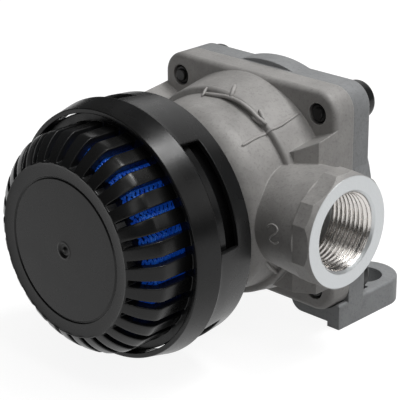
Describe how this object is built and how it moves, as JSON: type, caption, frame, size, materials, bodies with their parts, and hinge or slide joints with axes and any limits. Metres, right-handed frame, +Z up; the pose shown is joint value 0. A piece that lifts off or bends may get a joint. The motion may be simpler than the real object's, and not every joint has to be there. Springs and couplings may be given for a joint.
{
  "type": "vent valve",
  "caption": "Cast aluminium pneumatic vent valve with two threaded side ports, a threaded inlet, mounting lugs and a large slotted exhaust silencer with a knitted filter.",
  "frame": {"origin": "on the mounting plane, midway between the two lug holes", "axes": "+Z up from the mounting plane, +Y along the main axis towards the inlet, +X along the right side port"},
  "size_m": [0.0916, 0.106, 0.0743],
  "materials": {
    "cast_alloy": "satin, sand-cast grain",
    "cover_alloy": "satin, cast grain",
    "black_plastic": "satin moulded",
    "blue_knit": "knitted",
    "black_screw": "blackened",
    "seal_rubber": "matt",
    "seat_brass": "turned",
    "bright_steel": "bright",
    "guide_plastic": "moulded",
    "carrier_alloy": "turned"
  },
  "bodies": {
    "valve": {"valve_body": "cast_alloy", "rear_cover": "cover_alloy", "cover_o_ring": "seal_rubber", "cover_screw_1": "black_screw", "cover_screw_2": "black_screw", "cover_screw_3": "black_screw", "cover_screw_4": "black_screw", "exhaust_seat": "seat_brass", "seat_o_ring": "seal_rubber", "stem_guide": "guide_plastic", "return_spring": "bright_steel", "inlet_strainer": "bright_steel", "silencer_collar": "black_plastic", "silencer_cage": "black_plastic", "filter_knit": "blue_knit", "core_tube": "black_plastic", "silencer_o_ring": "seal_rubber", "silencer_clip": "bright_steel"},
    "disc": {"valve_disc": "seal_rubber", "disc_carrier": "carrier_alloy", "disc_washer": "bright_steel", "disc_nut": "bright_steel"}
  },
  "joints": [
    {"name": "disc_slide", "type": "slide", "parent": "valve", "child": "disc", "axis": [0, -1, 0], "range_m": [0, 0.0035], "stiffness_N_per_m": 400, "springref_m": -0.004, "deforming": ["return_spring"]}
  ]
}
